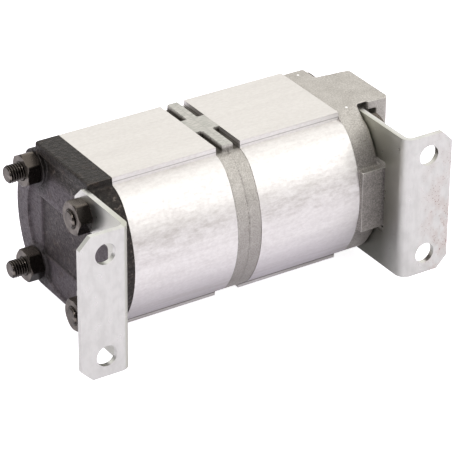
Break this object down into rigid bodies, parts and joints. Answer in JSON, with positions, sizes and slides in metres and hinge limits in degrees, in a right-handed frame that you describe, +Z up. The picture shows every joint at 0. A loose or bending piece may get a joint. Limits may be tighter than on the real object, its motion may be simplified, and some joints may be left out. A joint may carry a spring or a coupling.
{
  "type": "rotary flow divider",
  "caption": "Rotary gear flow divider: extruded gear bodies clamped between cast covers by tie studs, geared sections on one coupled shaft, and bent sheet mounting brackets.",
  "frame": {"origin": "centre of the four bracket holes, on the mounting plane", "axes": "+X along the gear shafts from the plain end cover to the port cover, +Y away from the mounting surface, +Z up, with the outlet and inlet ports facing down"},
  "size_m": [0.23, 0.122, 0.09],
  "materials": {
    "extruded_body": "satin extruded",
    "cast_plate": "as cast, fine grain",
    "cast_port_cover": "as cast, fine grain",
    "black_cover": "black coated, rough cast",
    "bracket_zinc": "bright zinc plated",
    "gear_steel": "ground, case hardened",
    "bearing_block": "machined",
    "seal_rubber": "matte",
    "bush_metal": "sintered bronze face",
    "dowel_steel": "ground",
    "stud_black": "black oxide",
    "nut_black": "black oxide"
  },
  "bodies": {
    "housing": {"gear_body_1": "extruded_body", "gear_body_2": "extruded_body", "intermediate_plate_1": "cast_plate", "intermediate_plate_2": "cast_plate", "port_cover": "cast_port_cover", "end_cover": "black_cover", "bracket_left": "bracket_zinc", "bracket_right": "bracket_zinc", "bearing_block_1_left": "bearing_block", "bearing_block_1_right": "bearing_block", "bearing_block_2_left": "bearing_block", "bearing_block_2_right": "bearing_block", "balance_seal_1_left": "seal_rubber", "balance_seal_1_right": "seal_rubber", "balance_seal_2_left": "seal_rubber", "balance_seal_2_right": "seal_rubber", "body_seal_1_left": "seal_rubber", "body_seal_1_right": "seal_rubber", "body_seal_2_left": "seal_rubber", "body_seal_2_right": "seal_rubber", "plate_seal": "seal_rubber", "bearing_bushes_1": "bush_metal", "bearing_bushes_2": "bush_metal", "dowel_pins": "dowel_steel", "tie_studs_front": "stud_black", "tie_studs_rear": "stud_black", "nuts_front_left": "nut_black", "nuts_rear_left": "nut_black", "nuts_front_right": "nut_black", "nuts_rear_right": "nut_black"},
    "drive_shaft": {"drive_gear_1": "gear_steel", "drive_gear_2": "gear_steel", "shaft_coupling": "gear_steel"},
    "driven_gear_1_body": {"driven_gear_1": "gear_steel"},
    "driven_gear_2_body": {"driven_gear_2": "gear_steel"}
  },
  "joints": [
    {"name": "drive_shaft_spin", "type": "hinge", "parent": "housing", "child": "drive_shaft", "pos_m": [0, 0.0541, 0], "axis": [1, 0, 0], "continuous": true},
    {"name": "driven_gear_1_spin", "type": "hinge", "parent": "housing", "child": "driven_gear_1_body", "pos_m": [-0.039, 0.0889, 0], "axis": [1, 0, 0], "continuous": true},
    {"name": "driven_gear_2_spin", "type": "hinge", "parent": "housing", "child": "driven_gear_2_body", "pos_m": [0.039, 0.0889, 0], "axis": [1, 0, 0], "continuous": true}
  ],
  "couplings": [
    {"joint": "driven_gear_1_spin", "follows": "drive_shaft_spin", "ratio": -1},
    {"joint": "driven_gear_2_spin", "follows": "drive_shaft_spin", "ratio": -1}
  ]
}
